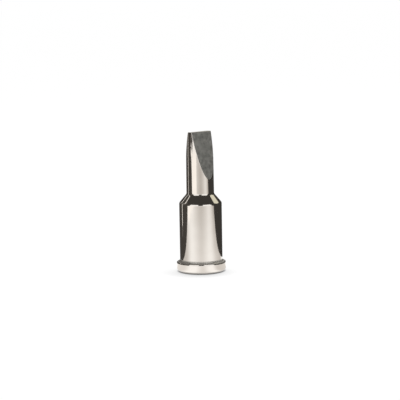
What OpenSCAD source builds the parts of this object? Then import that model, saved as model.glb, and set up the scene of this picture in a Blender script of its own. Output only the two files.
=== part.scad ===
// Soldering iron tip: a screwdriver-shaped chisel bit on a hollow barrel, turned and ground from one bar.
// It stands on its flange. The origin is the centre of the flange's underside, +Z points to the working
// edge, and the two ground flats face +Y and -Y, so the working edge lies along X.

/* [Bore] */
// Diameter of the blind bore that slides over the heater
bore_d = 5.8; // [4.8:0.1:7]
// Distance from the end of the bore's full width up to the edge of the shoulder
bore_stop = 0.6; // [0.3:0.1:2]
// Included angle of the drill point that ends the bore, in degrees
drill_angle = 118; // [90:1:140]
// Width of the chamfer round the mouth of the bore
mouth_chamfer = 0.2; // [0.1:0.05:0.3]

/* [Barrel] */
// Wall between the bore and the outside of the barrel
barrel_wall = 0.8; // [0.6:0.05:1.2]
// Length of the barrel, from the top of the flange to the edge of the shoulder
barrel_len = 10.3; // [8:0.05:16]
// Angle between the cone of the shoulder and the axis, in degrees
shoulder_angle = 40; // [30:1:60]
// Radius that rounds the edge of the shoulder
shoulder_round = 0.5; // [0.1:0.05:0.8]
// Radius in the corner between the barrel and the flange
barrel_root_round = 0.3; // [0.1:0.05:0.3]

/* [Flange] */
// Thickness of the flange that the retaining sleeve clamps
flange_h = 1.75; // [1.1:0.05:2.5]
// Width of the flange's ledge, beyond the barrel
flange_ledge = 0.6; // [0.6:0.05:0.9]
// Radius that rounds the upper edge of the flange
flange_top_round = 0.25; // [0.05:0.05:0.25]
// Radius that rounds the lower edge of the flange
flange_foot_round = 0.7; // [0.1:0.05:0.75]

/* [Shank] */
// Diameter of the shank where it leaves the shoulder
shank_d = 4.8; // [3.6:0.1:5.4]
// How much smaller the shank's diameter is at the working end
shank_taper = 0.14; // [0:0.01:0.5]
// Length of the shank, from the shoulder to the working edge
shank_len = 10.8; // [9.5:0.1:16]
// Radius in the corner between the shoulder and the shank
shank_root_round = 0.5; // [0.1:0.05:1]

/* [Chisel] */
// Thickness of the blade at the working edge
blade_t = 0.95; // [0.6:0.05:2]
// Length of each ground flat, measured along the axis
flat_len = 8.15; // [5:0.05:9.4]
// Width of the small bevels that break the working edge
edge_break = 0.08; // [0.02:0.01:0.15]

/* [Hidden] */
$fn = 96;
ROUND_STEPS = 8;
OVERCUT = 1;
PLATED = [0.80, 0.77, 0.73];

bore_r = bore_d / 2;
barrel_r = bore_r + barrel_wall;
flange_r = barrel_r + flange_ledge;
shank_root_r = shank_d / 2;
shank_end_r = (shank_d - shank_taper) / 2;

shoulder_z = flange_h + barrel_len;
shank_z = shoulder_z + (barrel_r - shank_root_r) / tan(shoulder_angle);
edge_z = shank_z + shank_len;
flat_foot_z = edge_z - flat_len;
flat_foot_r = shank_end_r + (shank_root_r - shank_end_r) * flat_len / shank_len;
flat_slope = (flat_foot_r - blade_t / 2) / flat_len;
bore_depth = shoulder_z - bore_stop;

// Corners of the turned outside, as [radius, height, rounding radius], from the foot upwards.
OUTSIDE = [
    [0, 0, 0],
    [flange_r, 0, flange_foot_round],
    [flange_r, flange_h, flange_top_round],
    [barrel_r, flange_h, barrel_root_round],
    [barrel_r, shoulder_z, shoulder_round],
    [shank_root_r, shank_z, shank_root_round],
    [shank_end_r, edge_z, edge_break],
    [0, edge_z, 0],
];

function unit(v) = v / norm(v);

// The arc that rounds the corner at b between the points a and c, as a list of points.
function rounded(a, b, c, radius) =
    let (
        to_a = unit(a - b),
        to_c = unit(c - b),
        half = acos(to_a * to_c) / 2,
        reach = radius / tan(half),
        centre = b + unit(to_a + to_c) * radius / sin(half),
        first = b + to_a * reach - centre,
        last = b + to_c * reach - centre,
        turn = 180 - 2 * half
    )
    [for (step = [0 : ROUND_STEPS])
        let (share = step / ROUND_STEPS)
        centre + (first * sin((1 - share) * turn) + last * sin(share * turn)) / sin(turn)];

function flat_point(corner) = [corner[0], corner[1]];

// The points of a profile whose corners are rounded as their third number says.
function profile(corners) = [
    for (i = [0 : len(corners) - 1])
        let (
            here = corners[i],
            before = corners[max(i - 1, 0)],
            after = corners[min(i + 1, len(corners) - 1)],
            points = here[2] > 0
                ? rounded(flat_point(before), flat_point(here), flat_point(after), here[2])
                : [flat_point(here)]
        )
        each points
];

module turned_blank() {
    rotate_extrude() polygon(profile(OUTSIDE));
}

// Everything outside one ground flat and the bevel at its end, as a prism along X.
module beyond_flat() {
    reach = flange_r + OVERCUT;
    bevel_y = blade_t / 2 + flat_slope * edge_break;
    rotate([90, 0, 90])
        linear_extrude(height = 2 * reach, center = true)
            polygon([
                [bevel_y - edge_break - OVERCUT, edge_z + OVERCUT],
                [bevel_y, edge_z - edge_break],
                [flat_foot_r + flat_slope * OVERCUT, flat_foot_z - OVERCUT],
                [reach, flat_foot_z - OVERCUT],
                [reach, edge_z + OVERCUT],
            ]);
}

// The blind bore: a chamfered mouth, the full width, and the cone that the drill leaves.
module heater_bore() {
    translate([0, 0, -OVERCUT])
        cylinder(r = bore_r, h = OVERCUT + bore_depth);
    translate([0, 0, bore_depth])
        cylinder(r1 = bore_r, r2 = 0, h = bore_r / tan(drill_angle / 2));
    translate([0, 0, -OVERCUT])
        cylinder(r1 = bore_r + mouth_chamfer + OVERCUT, r2 = bore_r, h = mouth_chamfer + OVERCUT);
}

module soldering_tip() {
    color(PLATED)
        difference() {
            turned_blank();
            for (side = [0, 1])
                mirror([0, side, 0]) beyond_flat();
            heater_bore();
        }
}

soldering_tip();
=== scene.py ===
import math

import bmesh
import bpy
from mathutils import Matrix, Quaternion, Vector


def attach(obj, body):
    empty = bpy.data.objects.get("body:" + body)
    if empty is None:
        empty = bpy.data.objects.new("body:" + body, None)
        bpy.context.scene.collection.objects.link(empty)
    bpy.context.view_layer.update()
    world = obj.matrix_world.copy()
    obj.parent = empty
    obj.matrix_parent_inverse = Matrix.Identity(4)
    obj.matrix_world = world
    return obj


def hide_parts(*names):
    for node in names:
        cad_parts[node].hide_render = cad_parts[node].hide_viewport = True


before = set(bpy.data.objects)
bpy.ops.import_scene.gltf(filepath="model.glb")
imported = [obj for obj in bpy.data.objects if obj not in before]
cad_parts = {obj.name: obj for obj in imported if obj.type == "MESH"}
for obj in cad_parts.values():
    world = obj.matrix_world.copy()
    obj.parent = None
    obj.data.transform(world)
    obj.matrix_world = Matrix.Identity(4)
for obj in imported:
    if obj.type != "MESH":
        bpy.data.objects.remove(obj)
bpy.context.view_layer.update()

MM = 0.001

# Sizes of the tip in millimetres, as in the CAD part

BORE_R = 2.9
BORE_DEPTH = 11.45
DRILL_ANGLE = 118
MOUTH_CHAMFER = 0.2

BARREL_R = 3.7
SHOULDER_Z = 12.05
SHOULDER_ANGLE = 40
SHOULDER_ROUND = 0.5
BARREL_ROOT_ROUND = 0.3

FLANGE_R = 4.3
FLANGE_H = 1.75
FLANGE_TOP_ROUND = 0.25
FLANGE_FOOT_ROUND = 0.7

SHANK_ROOT_R = 2.4
SHANK_END_R = 2.33
SHANK_LEN = 10.8
SHANK_ROOT_ROUND = 0.5

BLADE_T = 0.95
FLAT_LEN = 8.15

SHANK_Z = SHOULDER_Z + (BARREL_R - SHANK_ROOT_R) / math.tan(math.radians(SHOULDER_ANGLE))
EDGE_Z = SHANK_Z + SHANK_LEN
FLAT_FOOT_Z = EDGE_Z - FLAT_LEN
FLAT_FOOT_R = SHANK_END_R + (SHANK_ROOT_R - SHANK_END_R) * FLAT_LEN / SHANK_LEN
DRILL_POINT_Z = BORE_DEPTH + BORE_R / math.tan(math.radians(DRILL_ANGLE / 2))

# Rounding of the edges that the CAD part keeps sharp or only bevels

CRISP = 0.03
BLADE_EDGE_ROUND = 0.06
FLAT_EDGE_ROUND = 0.06
END_SHARE = 0.1  # share of FLAT_EDGE_ROUND that is left at the corners of the working edge

# Fineness of the mesh

ARC_STEPS = 64  # steps along a quarter of a ring
CORNER_STEPS = 6  # steps in the rounding of an edge along the flat
ROUND_STEPS = 8  # steps in a rounding of the turned profile
FLAT_STEPS = 56  # rings between the foot of the flats and the working edge
GUARD = 0.02  # distance from a rounding to the ring that keeps its neighbour's shading straight
WELD = 1e-7  # points this close, in metres, become one

# What counts as a ground flat: the least parts of its normal along Y and Z, and how far it stays
# inside the shank's outline
GROUND_NORMAL_Y = 0.96
GROUND_NORMAL_Z = 0.15
GROUND_INSET = 0.3 * FLAT_EDGE_ROUND


# The turned profile

TURNED = [
    # radius, height, rounding
    (0, DRILL_POINT_Z, 0),
    (BORE_R, BORE_DEPTH, CRISP),
    (BORE_R, MOUTH_CHAMFER, CRISP),
    (BORE_R + MOUTH_CHAMFER, 0, CRISP),
    (FLANGE_R, 0, FLANGE_FOOT_ROUND),
    (FLANGE_R, FLANGE_H, FLANGE_TOP_ROUND),
    (BARREL_R, FLANGE_H, BARREL_ROOT_ROUND),
    (BARREL_R, SHOULDER_Z, SHOULDER_ROUND),
    (SHANK_ROOT_R, SHANK_Z, SHANK_ROOT_ROUND),
    (FLAT_FOOT_R, FLAT_FOOT_Z, 0),
]


def corner_arc(before, corner, after, radius):
    """The points of the arc that rounds a corner of the profile."""
    to_before = (before - corner).normalized()
    to_after = (after - corner).normalized()
    half = to_before.angle(to_after) / 2
    reach = radius / math.tan(half)
    centre = corner + (to_before + to_after).normalized() * radius / math.sin(half)
    first = corner + to_before * reach - centre
    last = corner + to_after * reach - centre
    turn = math.pi - 2 * half
    return [
        centre
        + (first * math.sin((1 - step / ROUND_STEPS) * turn) + last * math.sin(step / ROUND_STEPS * turn))
        / math.sin(turn)
        for step in range(ROUND_STEPS + 1)
    ]


def turned_profile():
    """(radius, height) of every ring from the drill's point to the foot of the flats."""
    runs = []
    for i, (radius, height, rounding) in enumerate(TURNED):
        here = Vector((radius, height))
        if rounding:
            before, after = (Vector(TURNED[j][:2]) for j in (i - 1, i + 1))
            runs.append(corner_arc(before, here, after, rounding))
        else:
            runs.append([here])
    points = []
    for run, following in zip(runs, runs[1:] + [None]):
        points += run
        if following:
            along = following[0] - run[-1]
            if along.length > 3 * GUARD:
                guard = along.normalized() * GUARD
                points += [run[-1] + guard, following[0] - guard]
    return points


# The rings


def quarter_ring(radius, half_t, rounding):
    """A quarter of the outline of a round bar that is cut flat at half_t from its axis, from +X to +Y."""
    if half_t >= radius:
        half_t = radius
        corner_angle = math.pi / 2
        centre = Vector((0, radius - rounding))
    else:
        corner_angle = math.asin((half_t - rounding) / (radius - rounding))
        centre = Vector(((radius - rounding) * math.cos(corner_angle), half_t - rounding))
    arc = [corner_angle * step / ARC_STEPS for step in range(ARC_STEPS)]
    points = [Vector((math.cos(angle), math.sin(angle))) * radius for angle in arc]
    for step in range(CORNER_STEPS + 1):
        angle = corner_angle + (math.pi / 2 - corner_angle) * step / CORNER_STEPS
        points.append(centre + Vector((math.cos(angle), math.sin(angle))) * rounding)
    points.append(Vector((max(centre.x - GUARD, centre.x / 2), half_t)))
    points.append(Vector((0, half_t)))
    return points


def whole_ring(radius, half_t, rounding, height):
    """The full outline, turning from +X towards +Y."""
    quarter = quarter_ring(radius, half_t, rounding)
    mirrored = [Vector((-p.x, p.y)) for p in reversed(quarter)]
    half = quarter + mirrored[1:]
    opposite = [Vector((p.x, -p.y)) for p in reversed(half)]
    outline = half + opposite[1:-1]
    return [Vector((p.x, p.y, height)) for p in outline]


def half_thickness(height):
    """How far the ground flats lie from the axis at a height."""
    slope = (FLAT_FOOT_R - BLADE_T / 2) / FLAT_LEN
    return BLADE_T / 2 + slope * (EDGE_Z - height)


def shank_radius(height):
    """The radius of the tapered shank at a height."""
    return SHANK_END_R + (SHANK_ROOT_R - SHANK_END_R) * (EDGE_Z - height) / SHANK_LEN


def blade_rings():
    """The rings from just above the foot of the flats up to the rounded working edge."""
    top = EDGE_Z - BLADE_EDGE_ROUND
    # The rings lie closer together near the foot, where the flat's outline curves most.
    shares = [(step / FLAT_STEPS) ** 2 for step in range(1, FLAT_STEPS)]
    heights = [FLAT_FOOT_Z + (top - FLAT_FOOT_Z) * share for share in shares] + [top - GUARD, top]
    rings = []
    for height in heights:
        rings.append(whole_ring(shank_radius(height), half_thickness(height), FLAT_EDGE_ROUND, height))
    for step in range(1, CORNER_STEPS + 1):
        angle = math.pi / 2 * step / CORNER_STEPS
        inset = BLADE_EDGE_ROUND * (1 - math.cos(angle))
        height = top + BLADE_EDGE_ROUND * math.sin(angle)
        radius = shank_radius(height) - inset
        half_t = half_thickness(height) - inset
        rings.append(whole_ring(radius, half_t, FLAT_EDGE_ROUND - (1 - END_SHARE) * inset, height))
    inset = BLADE_EDGE_ROUND + GUARD
    rings.append(whole_ring(SHANK_END_R - inset, BLADE_T / 2 - inset, END_SHARE * FLAT_EDGE_ROUND, EDGE_Z))
    return rings


def is_ground(face):
    """True for the two ground flats."""
    centre = face.calc_center_median() / MM
    leans = abs(face.normal.y) > GROUND_NORMAL_Y and abs(face.normal.z) > GROUND_NORMAL_Z
    outline = math.sqrt(max(shank_radius(centre.z) ** 2 - centre.y**2, 0))
    return centre.z > FLAT_FOOT_Z and leans and abs(centre.x) < outline - GROUND_INSET


def build_tip(materials):
    """The tip, skinned over its rings. The first material is the plating, the second the ground metal."""
    rings = [whole_ring(p.x, p.x, min(CRISP, p.x), p.y) for p in turned_profile()] + blade_rings()
    mesh = bmesh.new()
    rows = [[mesh.verts.new(p * MM) for p in ring] for ring in rings]
    for lower, upper in zip(rows, rows[1:]):
        for i, corner in enumerate(lower):
            j = (i + 1) % len(lower)
            mesh.faces.new((corner, lower[j], upper[j], upper[i]))
    mesh.faces.new(rows[-1])
    bmesh.ops.remove_doubles(mesh, verts=mesh.verts, dist=WELD)
    bmesh.ops.dissolve_degenerate(mesh, edges=mesh.edges, dist=WELD)
    bmesh.ops.recalc_face_normals(mesh, faces=mesh.faces)
    for face in mesh.faces:
        face.smooth = True
        face.material_index = 1 if is_ground(face) else 0
    data = bpy.data.meshes.new("tip")
    mesh.to_mesh(data)
    mesh.free()
    for material in materials:
        data.materials.append(material)
    tip = bpy.data.objects.new("tip", data)
    bpy.context.collection.objects.link(tip)
    return tip


# Nodes


def node_calls(tree):
    """Short calls to add and join the nodes of a tree, which is emptied first."""
    tree.nodes.clear()

    def add(kind, **settings):
        node = tree.nodes.new(kind)
        for key, value in settings.items():
            setattr(node, key, value)
        return node

    return add, tree.links.new


def node_setup(name):
    """A new material, and short calls to add and join its nodes."""
    material = bpy.data.materials.new(name)
    material.use_nodes = True
    return material, *node_calls(material.node_tree)


def noise(add, join, position, scale, detail=3, roughness=0.5):
    """A noise from 0 to 1. The scale is how many cells it has in a metre."""
    node = add("ShaderNodeTexNoise")
    node.inputs["Scale"].default_value = scale
    node.inputs["Detail"].default_value = detail
    node.inputs["Roughness"].default_value = roughness
    join(position, node.inputs["Vector"])
    return node.outputs["Fac"]


def ranged(add, join, value, low, high, to_low, to_high):
    """A value moved from the range low to high into the range to_low to to_high, and kept inside it."""
    node = add("ShaderNodeMapRange")
    join(value, node.inputs["Value"])
    for key, number in (("From Min", low), ("From Max", high), ("To Min", to_low), ("To Max", to_high)):
        node.inputs[key].default_value = number
    return node.outputs["Result"]


def spread(add, join, value, to_low=0, to_high=1):
    """A noise, most of which lies between 0.3 and 0.7, moved into the range to_low to to_high."""
    return ranged(add, join, value, 0.3, 0.7, to_low, to_high)


def combined(add, join, operation, first, second, clamp=False):
    """A maths node on two values."""
    node = add("ShaderNodeMath", operation=operation, use_clamp=clamp)
    join(first, node.inputs[0])
    join(second, node.inputs[1])
    return node.outputs[0]


def vector_maths(add, join, operation, vector, other=None):
    """A vector maths node. The other vector, if there is one, is three numbers or what a node gives."""
    node = add("ShaderNodeVectorMath", operation=operation)
    join(vector, node.inputs[0])
    if isinstance(other, bpy.types.NodeSocket):
        join(other, node.inputs[1])
    elif other is not None:
        node.inputs[1].default_value = other
    return node.outputs["Value" if operation in ("DOT_PRODUCT", "LENGTH") else "Vector"]


def bump(add, join, height, depth, normal=None):
    """The surface's direction where a height from 0 to 1 stands for a depth in millimetres."""
    node = add("ShaderNodeBump")
    node.inputs["Strength"].default_value = 1
    node.inputs["Distance"].default_value = depth * MM
    join(height, node.inputs["Height"])
    if normal:
        join(normal, node.inputs["Normal"])
    return node.outputs["Normal"]


def blend(add, join, value, colours):
    """A colour between two fixed ones, by a value from 0 to 1."""
    node = add("ShaderNodeMix", data_type="RGBA")
    join(value, node.inputs[0])
    node.inputs[6].default_value = (*colours[0], 1)
    node.inputs[7].default_value = (*colours[1], 1)
    return node.outputs[2]


def mixed_colour(add, join, value, first, second):
    """A colour between two colours that nodes give, by a value from 0 to 1."""
    node = add("ShaderNodeMix", data_type="RGBA")
    for source, socket in ((value, 0), (first, 6), (second, 7)):
        join(source, node.inputs[socket])
    return node.outputs[2]


def seen_rays(add, join):
    """1 for rays that the lens sees, also by way of a reflection or through a clear surface, else 0."""
    ray = add("ShaderNodeLightPath").outputs
    seen = combined(add, join, "ADD", ray["Is Camera Ray"], ray["Is Glossy Ray"], clamp=True)
    return combined(add, join, "ADD", seen, ray["Is Transmission Ray"], clamp=True)


# The tip's materials. Depths and heights are in millimetres.

MASK_FADE = 0.03  # height over which a mask falls from 1 to 0

# The plating. In the corner between barrel and flange, from a little below the ledge to a little above the
# corner's rounding, it is painted darker as painted shade, and it is less metallic and rougher there.
PLATE_COLOURS = ((0.86, 0.81, 0.75), (0.90, 0.85, 0.79))
PLATE_ROUGHNESS = (0.04, 0.09)
WAVE_DEPTH = 0.006
TURNING_DEPTH = 0.0002
CORNER_BELOW = 0.03
CORNER_ABOVE = 0.14
# Painted shade: the darker colours of the plating in the corner
CORNER_SHADE_COLOURS = ((0.46, 0.44, 0.40), (0.62, 0.59, 0.54))
CORNER_METALLIC = 0.55
CORNER_HAZE = 0.22  # how much rougher the plating is in the corner
RIM_SLOPE = 0.4  # shaded slope of the flange's upper edge as a share of its true slope, so that it shines

# The ground flats
GROUND_COLOURS = ((0.31, 0.31, 0.29), (0.62, 0.62, 0.58))
GROUND_ROUGHNESS = (0.42, 0.52)
GROUND_METALLIC = 0.85
GRAIN_DEPTH = 0.006
MARK_DEPTH = 0.004

# How many cells a noise that runs in lines has in a metre along X, Y and Z
TURNING_LINES = (200, 200, 16000)
GRINDING_LINES = (12000, 12000, 900)


def height_mask(add, join, position, low, high):
    """1 between two heights, falling to 0 over a short stretch outside them."""
    parts = add("ShaderNodeSeparateXYZ")
    join(position, parts.inputs[0])
    above = ranged(add, join, parts.outputs["Z"], (low - MASK_FADE) * MM, low * MM, 0, 1)
    below = ranged(add, join, parts.outputs["Z"], (high + MASK_FADE) * MM, high * MM, 0, 1)
    return combined(add, join, "MULTIPLY", above, below)


def corner_shade_mask(add, join, position):
    """1 in the corner between the barrel and the flange and on the flange's ledge, where the shade is
    painted, else 0.
    """
    high = FLANGE_H + BARREL_ROOT_ROUND + CORNER_ABOVE
    heights = height_mask(add, join, position, FLANGE_H - CORNER_BELOW, high)
    across = vector_maths(add, join, "MULTIPLY", position, (1, 1, 0))
    radius = vector_maths(add, join, "LENGTH", across)
    outside = ranged(add, join, radius, BORE_R * MM, BARREL_R * MM, 0, 1)
    return combined(add, join, "MULTIPLY", heights, outside)


def rim_normal(add, join, position):
    """The surface's direction, which turns upwards more slowly round the flange's upper edge."""
    rim = height_mask(add, join, position, FLANGE_H - FLANGE_TOP_ROUND, FLANGE_H - CORNER_BELOW)
    scale = add("ShaderNodeCombineXYZ")
    scale.inputs["X"].default_value = 1
    scale.inputs["Y"].default_value = 1
    join(ranged(add, join, rim, 0, 1, 1, RIM_SLOPE), scale.inputs["Z"])
    true_normal = add("ShaderNodeNewGeometry").outputs["Normal"]
    scaled = vector_maths(add, join, "MULTIPLY", true_normal, scale.outputs[0])
    return vector_maths(add, join, "NORMALIZE", scaled)


def plated_metal():
    """Bright nickel plating over turned metal: a warm mirror with faint turning lines and waves.

    The corner of the flange is painted darker as painted shade, and it is less metallic and rougher.
    """
    material, add, join = node_setup("plated_metal")
    position = add("ShaderNodeTexCoord").outputs["Object"]
    shader = add("ShaderNodeBsdfPrincipled")

    corner = corner_shade_mask(add, join, position)
    join(ranged(add, join, corner, 0, 1, 1, CORNER_METALLIC), shader.inputs["Metallic"])

    tint = spread(add, join, noise(add, join, position, 500))
    bright = blend(add, join, tint, PLATE_COLOURS)
    # Painted shade: the darker colour in the corner of the flange
    painted_shade = blend(add, join, tint, CORNER_SHADE_COLOURS)
    join(mixed_colour(add, join, corner, bright, painted_shade), shader.inputs["Base Color"])

    haze = spread(add, join, noise(add, join, position, 1400), *PLATE_ROUGHNESS)
    corner_haze = ranged(add, join, corner, 0, 1, 0, CORNER_HAZE)
    join(combined(add, join, "ADD", haze, corner_haze), shader.inputs["Roughness"])

    waves = noise(add, join, position, 450, detail=1)
    lines = vector_maths(add, join, "MULTIPLY", position, TURNING_LINES)
    turning = noise(add, join, lines, 1, detail=2)
    normal = bump(add, join, turning, TURNING_DEPTH, rim_normal(add, join, position))
    join(bump(add, join, waves, WAVE_DEPTH, normal), shader.inputs["Normal"])
    join(shader.outputs[0], add("ShaderNodeOutputMaterial").inputs[0])
    return material


def ground_metal():
    """The dull grey of the ground flats, with a fine mottle and grinding marks along the blade."""
    material, add, join = node_setup("ground_metal")
    position = add("ShaderNodeTexCoord").outputs["Object"]
    shader = add("ShaderNodeBsdfPrincipled")
    shader.inputs["Metallic"].default_value = GROUND_METALLIC

    mottle = spread(add, join, noise(add, join, position, 1300, detail=5, roughness=0.6))
    join(blend(add, join, mottle, GROUND_COLOURS), shader.inputs["Base Color"])

    haze = spread(add, join, noise(add, join, position, 3000), *GROUND_ROUGHNESS)
    join(haze, shader.inputs["Roughness"])

    grain = noise(add, join, position, 9000, detail=2)
    lines = vector_maths(add, join, "MULTIPLY", position, GRINDING_LINES)
    marks = noise(add, join, lines, 1, detail=2)
    normal = bump(add, join, grain, GRAIN_DEPTH)
    join(bump(add, join, marks, MARK_DEPTH, normal), shader.inputs["Normal"])
    join(shader.outputs[0], add("ShaderNodeOutputMaterial").inputs[0])
    return material


# Studio
# Cards and lamps are placed as the photographer sees them: how far right, how far towards the lens and
# how high, in millimetres from the foot of the tip.

CAMERA_AZIMUTH = -42.4
CAMERA_ELEVATION = 7.9
CAMERA_DISTANCE = 260
CAMERA_LENS = 134.6
CAMERA_ROLL = -0.94
LOOK_RIGHT = -0.067
LOOK_HEIGHT = 12.46

TOWARDS = Vector((math.sin(math.radians(CAMERA_AZIMUTH)), -math.cos(math.radians(CAMERA_AZIMUTH)), 0))
RIGHT = Vector((-TOWARDS.y, TOWARDS.x, 0))
UP = Vector((0, 0, 1))


def studio_point(right, towards, height):
    """A point of the studio in metres, in the CAD frame."""
    return (RIGHT * right + TOWARDS * towards + UP * height) * MM


def around(azimuth, distance):
    """(right, towards) of a point on the table at an angle from the lens, positive to the right."""
    angle = math.radians(azimuth)
    return distance * math.sin(angle), distance * math.cos(angle)


# Cards

# Brightness of the table as the metal reflects it, at angles from the lens, positive to the right.
# Each grade holds at its own distance from the foot of the tip, and they blend in between.
FOOT_GRADE = [
    (-115, 0.80), (-68, 0.77), (-42, 0.99), (-20, 0.99), (5, 0.76),
    (30, 1.0), (45, 0.95), (62, 0.68), (115, 0.70),
]
NEAR_GRADE = [
    (-115, 0.60), (-76, 0.66), (-51, 0.98), (-28, 0.94), (0, 0.79),
    (28, 0.93), (50, 1.0), (75, 0.77), (115, 0.58),
]
FAR_GRADE = [
    (-76, 0.85), (-63, 1.0), (-36, 0.80), (0, 0.55), (28, 0.70),
    (46, 0.83), (62, 0.60), (72, 0.35), (115, 0.30),
]
GRADE_POWERS = (1, 1.08, 1.16)  # powers for red, green and blue, so that what is darker is warmer
FOOT_GAIN = 1.08
FOOT_DISTANCE = 12
NEAR_DISTANCES = (15, 20)
FAR_DISTANCE = 105

# The cards on the table lie this far above it
GRADED_LIFT = 0.02
GLOW_LIFT = 0.04
SHEET_LIFT = 0.1

GRADED_START = 4.4  # just beyond the flange
TABLE_EDGE = 250
SHEET_EDGE = 260
SCREEN_DISTANCE = 240
CEILING = 260
STRIP_STEP = 2.4  # height at which the left strip turns from dim to bright


def glow(name, colour):
    """A material of one plain brightness, which lights nothing."""
    material, add, join = node_setup(name)
    shader = add("ShaderNodeEmission")
    shader.inputs["Color"].default_value = (*colour, 1)
    join(shader.outputs[0], add("ShaderNodeOutputMaterial").inputs[0])
    material.cycles.emission_sampling = "NONE"
    return material


def graded(name):
    """A glow that is graded by direction and by distance from the foot of the tip."""
    material, add, join = node_setup(name)
    position = add("ShaderNodeTexCoord").outputs["Object"]
    across = vector_maths(add, join, "DOT_PRODUCT", position, RIGHT)
    ahead = vector_maths(add, join, "DOT_PRODUCT", position, TOWARDS)
    angle = combined(add, join, "ARCTAN2", across, ahead)
    turn = ranged(add, join, angle, -math.pi, math.pi, 0, 1)

    ramps = []
    for grade in (FOOT_GRADE, NEAR_GRADE, FAR_GRADE):
        ramp = add("ShaderNodeValToRGB")
        ramp.color_ramp.interpolation = "CARDINAL"
        stops = ramp.color_ramp.elements
        while len(stops) < len(grade):
            stops.new(0.5)
        for stop, (azimuth, value) in zip(stops, grade):
            stop.position = (azimuth + 180) / 360
            stop.color = (*(value**power for power in GRADE_POWERS), 1)
        join(turn, ramp.inputs[0])
        ramps.append(ramp.outputs["Color"])

    away = vector_maths(add, join, "LENGTH", position)
    past_foot = ranged(add, join, away, FOOT_DISTANCE * MM, NEAR_DISTANCES[0] * MM, 0, 1)
    past_near = ranged(add, join, away, NEAR_DISTANCES[1] * MM, FAR_DISTANCE * MM, 0, 1)
    colour = mixed_colour(add, join, past_foot, ramps[0], ramps[1])
    colour = mixed_colour(add, join, past_near, colour, ramps[2])
    shader = add("ShaderNodeEmission")
    join(colour, shader.inputs["Color"])
    join(ranged(add, join, past_foot, 0, 1, FOOT_GAIN, 1), shader.inputs["Strength"])
    join(shader.outputs[0], add("ShaderNodeOutputMaterial").inputs[0])
    material.cycles.emission_sampling = "NONE"
    return material


def card(name, corners, material):
    """A card that shows in reflections and casts no light or shadow. The corners are studio points."""
    data = bpy.data.meshes.new(name)
    data.from_pydata([studio_point(*corner) for corner in corners], [], [range(len(corners))])
    data.materials.append(material)
    piece = bpy.data.objects.new(name, data)
    bpy.context.collection.objects.link(piece)
    piece.visible_camera = False
    piece.visible_diffuse = False
    piece.visible_transmission = False
    piece.visible_shadow = False


def level_card(name, outline, height, material):
    """A card that lies level at a height, inside an outline of (right, towards) points."""
    card(name, [(*point, height) for point in outline], material)


def standing_card(name, line, foot, top, material):
    """A card that stands upright along a line of (right, towards) points."""
    for i, (start, end) in enumerate(zip(line, line[1:])):
        card(f"{name}_{i}", [(*start, foot), (*end, foot), (*end, top), (*start, top)], material)


def build_cards():
    """What the metal reflects: the table's brightness, the dark around it, and the bright strips."""
    dark = glow("dark_card", (0.060, 0.055, 0.050))
    darker = glow("darker_card", (0.045, 0.042, 0.039))
    bright = glow("bright_card", (0.75, 0.73, 0.60))
    lamp = glow("strip_card", (1.0, 0.97, 0.93))
    dim = glow("dim_card", (0.18, 0.17, 0.16))
    pale = glow("pale_card", (0.60, 0.59, 0.56))

    turns = range(-120, 121, 10)
    graded_sheet = [around(a, GRADED_START) for a in turns] + [around(a, TABLE_EDGE) for a in reversed(turns)]
    level_card("graded_sheet", graded_sheet, GRADED_LIFT, graded("graded_card"))
    left_glow = [
        around(-66, 58), around(-56, 75), around(-30, 98),
        around(-30, TABLE_EDGE), around(-85, TABLE_EDGE), around(-78, 90),
    ]
    level_card("left_glow", left_glow, GLOW_LIFT, glow("glow_card", (1.08, 1.05, 1.02)))

    # The inner edges of the two sheets draw the edges of the dark bands on the barrel.
    right_sheet = [(12, -10), (17, -8), (55, 9), (125, 46), (240, 110)]
    right_sheet += [around(a, SHEET_EDGE) for a in range(75, 180, 15)]
    right_sheet += [around(178, SHEET_EDGE), around(178, 16)]
    left_sheet = [(-10, -6), (-12.3, -4.2), (-54.5, 13), (-107, 37.5), (-182, 54), (-212, 39.5), (-257, 20)]
    left_sheet += [around(-a, SHEET_EDGE) for a in range(95, 180, 15)]
    left_sheet += [around(-178, SHEET_EDGE), around(-178, 12)]
    level_card("right_sheet", right_sheet, SHEET_LIFT, darker)
    level_card("left_sheet", left_sheet, SHEET_LIFT, dark)

    right_line = [around(a, SCREEN_DISTANCE) for a in range(62, 181, 13)]
    left_line = [around(-a, SCREEN_DISTANCE) for a in range(60, 181, 15)]
    standing_card("right_screen", right_line, 0, CEILING, darker)
    standing_card("left_screen", left_line, 0, CEILING, dark)
    standing_card("lens_card", [around(-13, TABLE_EDGE), around(13, TABLE_EDGE)], 40, 250, darker)
    left_strip = [around(-111, 40), around(-115, 40)]
    standing_card("strip_lamp", left_strip, STRIP_STEP, 60, lamp)
    standing_card("strip_foot", left_strip, 0.2, STRIP_STEP, dim)
    standing_card("back_strip", [around(-137, 60), around(-140, 60)], 25, 55, lamp)
    standing_card("back_card", [around(170, 230), around(190, 230)], 30, 80, pale)
    level_card("ceiling", [around(a, SHEET_EDGE) for a in range(0, 360, 20)], CEILING, darker)
    card(
        "right_softbox",
        [(*around(107, 60), 85), (*around(107, 60), 40), (*around(140, 60), 40), (*around(140, 60), 85)],
        bright,
    )


# Floor, world, lamp and camera

FLOOR_SIZE = 6  # metres
FLOOR_GREY = 0.85  # grey of the floor for the light that it gives back
SEEN_GREY = 0.07  # grey of the floor under the lamp where it is seen
SEEN_GLOW = 0.965  # the floor's own brightness where it is seen
CONTACT_SHADOW = (0.35, 0.6)  # reach in millimetres, and power
SOFT_SHADOW = (3, 0.4)  # reach in millimetres, and power
SHADOW_TILT = 3  # how far the soft shadow falls towards the lens rather than all round
WORLD_STRENGTH = 0.6
LAMP_PLACE = (160, -60, 300)
LAMP_SIZE = 0.25  # metres
LAMP_POWER = 0.6  # watts


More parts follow.
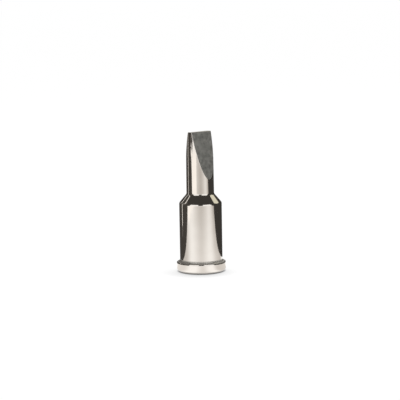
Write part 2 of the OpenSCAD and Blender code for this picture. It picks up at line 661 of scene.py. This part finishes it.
def openness(add, join, reach, power, normal=None):
    """How little stands over the floor within a reach in millimetres, from 0 to 1, raised to a power."""
    node = add("ShaderNodeAmbientOcclusion", samples=8)
    node.inputs["Distance"].default_value = reach * MM
    if normal:
        join(normal, node.inputs["Normal"])
    raised = add("ShaderNodeMath", operation="POWER")
    join(node.outputs["AO"], raised.inputs[0])
    raised.inputs[1].default_value = power
    return raised.outputs[0]


def build_floor():
    """A pale table. Where it is seen, also in reflections, most of its brightness is its own."""
    material, add, join = node_setup("floor")
    plain = add("ShaderNodeBsdfDiffuse")
    plain.inputs["Color"].default_value = (FLOOR_GREY, FLOOR_GREY, FLOOR_GREY, 1)
    pale = add("ShaderNodeBsdfDiffuse")
    pale.inputs["Color"].default_value = (SEEN_GREY, SEEN_GREY, SEEN_GREY, 1)

    tilt = add("ShaderNodeCombineXYZ")
    for i, part in enumerate(UP - TOWARDS * SHADOW_TILT):
        tilt.inputs[i].default_value = part
    contact = openness(add, join, *CONTACT_SHADOW)
    soft = openness(add, join, *SOFT_SHADOW, normal=tilt.outputs[0])
    shade = combined(add, join, "MULTIPLY", contact, soft)
    own = add("ShaderNodeEmission")
    join(ranged(add, join, shade, 0, 1, 0, SEEN_GLOW), own.inputs["Strength"])
    both = add("ShaderNodeAddShader")
    join(pale.outputs[0], both.inputs[0])
    join(own.outputs[0], both.inputs[1])

    mixed = add("ShaderNodeMixShader")
    join(seen_rays(add, join), mixed.inputs[0])
    join(plain.outputs[0], mixed.inputs[1])
    join(both.outputs[0], mixed.inputs[2])
    join(mixed.outputs[0], add("ShaderNodeOutputMaterial").inputs[0])
    material.cycles.emission_sampling = "NONE"

    bpy.ops.mesh.primitive_plane_add(size=FLOOR_SIZE)
    floor = bpy.context.object
    floor.name = "floor"
    floor.data.materials.append(material)


def build_world():
    """White where it is seen or reflected, and a soft plain light elsewhere."""
    world = bpy.data.worlds.new("studio")
    bpy.context.scene.world = world
    world.use_nodes = True
    add, join = node_calls(world.node_tree)
    soft = add("ShaderNodeBackground")
    soft.inputs["Strength"].default_value = WORLD_STRENGTH
    white = add("ShaderNodeBackground")
    white.inputs["Color"].default_value = (1, 1, 1, 1)
    mixed = add("ShaderNodeMixShader")
    join(seen_rays(add, join), mixed.inputs[0])
    join(soft.outputs[0], mixed.inputs[1])
    join(white.outputs[0], mixed.inputs[2])
    join(mixed.outputs[0], add("ShaderNodeOutputWorld").inputs[0])


def build_lamp():
    """A soft lamp above and to the right."""
    data = bpy.data.lights.new("soft_lamp", "AREA")
    data.shape = "DISK"
    data.size = LAMP_SIZE
    data.energy = LAMP_POWER
    lamp = bpy.data.objects.new("soft_lamp", data)
    bpy.context.collection.objects.link(lamp)
    lamp.location = studio_point(*LAMP_PLACE)
    lamp.rotation_mode = "QUATERNION"
    lamp.rotation_quaternion = (-lamp.location).to_track_quat("-Z", "Y")
    lamp.visible_glossy = False


def build_camera():
    """The camera at the photograph's viewing angle."""
    data = bpy.data.cameras.new("camera")
    data.sensor_width = 36
    data.lens = CAMERA_LENS
    data.clip_start = 0.01
    data.clip_end = 10
    camera = bpy.data.objects.new("camera", data)
    bpy.context.collection.objects.link(camera)
    elevation = math.radians(CAMERA_ELEVATION)
    back = TOWARDS * math.cos(elevation) + UP * math.sin(elevation)
    look_at = RIGHT * LOOK_RIGHT + UP * LOOK_HEIGHT
    camera.location = (look_at + back * CAMERA_DISTANCE) * MM
    roll = Quaternion((0, 0, 1), math.radians(CAMERA_ROLL))
    camera.rotation_mode = "QUATERNION"
    camera.rotation_quaternion = (-back).to_track_quat("-Z", "Y") @ roll
    bpy.context.scene.camera = camera


# The scene

tip = build_tip([plated_metal(), ground_metal()])
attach(tip, "root")
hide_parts("soldering_tip")

build_floor()
build_world()
build_lamp()
build_cards()
build_camera()
bpy.context.scene.view_settings.view_transform = "Standard"
